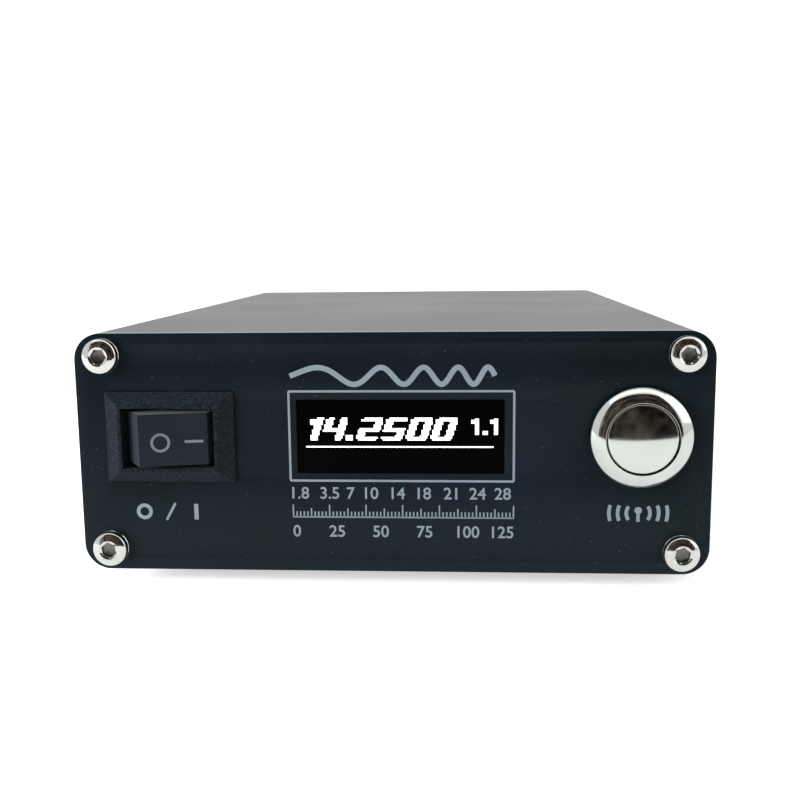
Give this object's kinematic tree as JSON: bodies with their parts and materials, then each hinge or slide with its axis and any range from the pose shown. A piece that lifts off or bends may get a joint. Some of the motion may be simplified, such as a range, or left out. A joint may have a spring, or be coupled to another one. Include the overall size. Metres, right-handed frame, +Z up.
{
  "type": "antenna tuner",
  "caption": "Flat black aluminium box antenna tuner with rocker switch, framed display, round push button and rear coaxial sockets.",
  "frame": {"origin": "middle of the footprint, on the surface the rubber feet stand on", "axes": "+Z up; the front panel with the switch, display and button faces -Y; +X is to the right seen from the front"},
  "size_m": [0.104, 0.159, 0.0425],
  "materials": {
    "anodised_case": "black anodised aluminium, satin",
    "anodised_panel": "black anodised aluminium, fine satin",
    "nickel": "bright nickel plate",
    "mirror_nickel": "polished nickel plate",
    "steel": "zinc-plated steel",
    "brass": "machined brass",
    "copper": "copper",
    "rubber": "matt moulded rubber",
    "smoked_window": "clear acrylic with a black masked border",
    "display_black": "gloss black display glass",
    "display_board": "blue solder mask",
    "ribbon": "grey flat cable",
    "switch_black": "fine-textured black nylon",
    "rocker_black": "smooth black nylon",
    "white_plastic": "white fluoropolymer",
    "lead_insulation": "insulated hook-up wire",
    "black_plastic": "black moulded plastic",
    "circuit_board": "green solder mask",
    "relay_case": "dark moulded relay case",
    "core_red": "red-coated iron powder",
    "capacitor_amber": "dipped amber coating",
    "capacitor_sleeve": "dark shrink sleeve",
    "panel_print": "pale grey screen print on the panels and the rocker",
    "display_light": "lit white display pixels"
  },
  "bodies": {
    "case": {"upper_shell": "anodised_case", "lower_shell": "anodised_case", "front_panel": "anodised_panel", "rear_panel": "anodised_panel", "front_panel_screws": "nickel", "rear_panel_screws": "nickel", "feet": "rubber", "display_window": "smoked_window", "display_glass": "display_black", "display_board": "display_board", "display_studs": "steel", "display_nuts": "steel", "display_ribbon": "ribbon", "switch_housing": "switch_black", "switch_common_terminal": "brass", "switch_contact_terminal": "brass", "switch_leads": "lead_insulation", "button_body": "mirror_nickel", "button_spring": "steel", "button_seal": "rubber", "button_nut": "nickel", "button_base": "black_plastic", "button_terminals": "brass", "button_leads": "lead_insulation", "input_socket_shell": "nickel", "input_socket_insulator": "white_plastic", "input_socket_contact": "brass", "antenna_socket_shell": "nickel", "antenna_socket_insulator": "white_plastic", "antenna_socket_contact": "brass", "socket_screws": "steel", "socket_nuts": "steel", "input_lead": "copper", "antenna_lead": "copper", "power_jack_body": "black_plastic", "power_jack_pin": "nickel", "power_jack_nut": "nickel", "power_leads": "lead_insulation", "key_jack_body": "black_plastic", "key_jack_nut": "nickel", "key_jack_contact": "brass", "ground_stud": "brass", "ground_lock_nut": "nickel", "main_board": "circuit_board", "inductor_relays": "relay_case", "capacitor_relays": "relay_case", "inductor_cores": "core_red", "inductor_windings": "copper", "capacitor_bank": "capacitor_amber", "control_chips": "black_plastic", "storage_capacitors": "capacitor_sleeve"},
    "rocker": {"rocker": "rocker_black", "rocker_spring": "steel"},
    "plunger": {"rocker_plunger": "white_plastic"},
    "seesaw_contact": {"contact_lever": "copper"},
    "tune_button": {"button_cap": "mirror_nickel", "button_clip": "steel", "contact_bridge": "copper"},
    "earth_washer": {"ground_washer": "nickel"},
    "earth_thumb_nut": {"ground_thumb_nut": "brass"}
  },
  "joints": [
    {"name": "rocker_tilt", "type": "hinge", "parent": "case", "child": "rocker", "pos_m": [-0.03635, -0.07295, 0.0253], "axis": [0, 0, 1], "range_deg": [-26, 0]},
    {"name": "plunger_slide", "type": "slide", "parent": "rocker", "child": "plunger", "axis": [0.225, -0.9744, 0], "range_m": [0, 0.0004], "stiffness_N_per_m": 300, "springref_m": -0.002, "deforming": ["rocker_spring"]},
    {"name": "seesaw_tilt", "type": "hinge", "parent": "case", "child": "seesaw_contact", "pos_m": [-0.03635, -0.06405, 0.0253], "axis": [0, 0, 1], "range_deg": [0, 13]},
    {"name": "button_press", "type": "slide", "parent": "case", "child": "tune_button", "axis": [0, 1, 0], "range_m": [0, 0.002], "stiffness_N_per_m": 800, "springref_m": -0.002, "deforming": ["button_spring"]},
    {"name": "earth_washer_travel", "type": "slide", "parent": "case", "child": "earth_washer", "axis": [0, 1, 0], "range_m": [0, 0.0014]},
    {"name": "thumb_nut_turn", "type": "hinge", "parent": "earth_washer", "child": "earth_thumb_nut", "pos_m": [0, 0.07055, 0.012], "axis": [0, 1, 0], "range_deg": [0, 720]}
  ],
  "couplings": [
    {"joint": "seesaw_tilt", "follows": "rocker_tilt", "ratio": -0.5},
    {"joint": "thumb_nut_turn", "follows": "earth_washer_travel", "rad_per_m": 8976}
  ]
}
